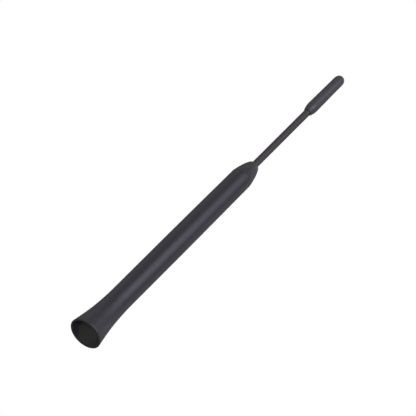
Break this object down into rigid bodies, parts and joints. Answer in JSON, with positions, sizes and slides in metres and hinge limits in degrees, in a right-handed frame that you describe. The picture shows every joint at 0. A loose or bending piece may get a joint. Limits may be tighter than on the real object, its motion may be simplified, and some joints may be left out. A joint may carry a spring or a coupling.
{
  "type": "car mast aerial",
  "caption": "Screw-on flexible car mast aerial: rubber body with a flared, recessed skirt and a threaded socket, thin sleeved whip and a round-ended tip cap.",
  "frame": {"origin": "centre of the skirt's rim, in the plane where the skirt meets the car's aerial base", "axes": "+Z along the mast, from the skirt to the tip; X and Y are level, and the socket's hexagon has corners on X"},
  "size_m": [0.0178, 0.0178, 0.23],
  "materials": {
    "body_rubber": "matt moulded rubber",
    "sleeve_plastic": "matt shrunk-on sleeve, faintly ribbed by the winding under it",
    "cap_plastic": "matt moulded plastic",
    "socket_brass": "turned",
    "ferrule_brass": "turned and crimped",
    "spring_steel": "drawn wire",
    "liner_plastic": "natural polyamide",
    "glass_fibre": "pultruded glass fibre and resin",
    "winding_copper": "enamelled copper wire",
    "solder": "set solder"
  },
  "bodies": {
    "root": {"rubber_sheath": "body_rubber", "thread_socket": "socket_brass", "flex_spring": "spring_steel", "spring_liner": "liner_plastic", "whip_ferrule": "ferrule_brass", "core_rod": "glass_fibre", "radiator_winding": "winding_copper", "solder_joint": "solder", "whip_sleeve": "sleeve_plastic", "tip_cap": "cap_plastic"}
  },
  "joints": []
}
